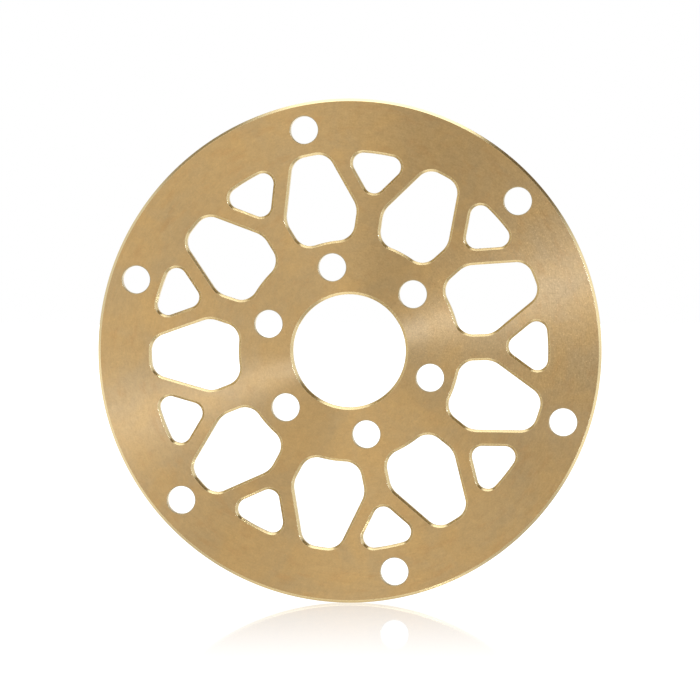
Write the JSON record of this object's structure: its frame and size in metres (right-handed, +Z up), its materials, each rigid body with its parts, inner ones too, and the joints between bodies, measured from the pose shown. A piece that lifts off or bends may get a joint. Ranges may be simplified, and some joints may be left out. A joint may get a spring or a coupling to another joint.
{
  "type": "perforated mounting disc",
  "caption": "Flat round brass disc with a central bore, two circles of plain bolt holes, and rings of large six-sided and small triangular lightening windows.",
  "frame": {"origin": "centre of the bore, half-way through the plate's thickness", "axes": "+Y along the disc's axis from the front face to the back face, +Z up across the face, +X to the right seen from the front"},
  "size_m": [0.1, 0.003, 0.1],
  "materials": {
    "brass": "fine turned face, bright bevels"
  },
  "bodies": {
    "root": {"disc_plate": "brass"}
  },
  "joints": []
}
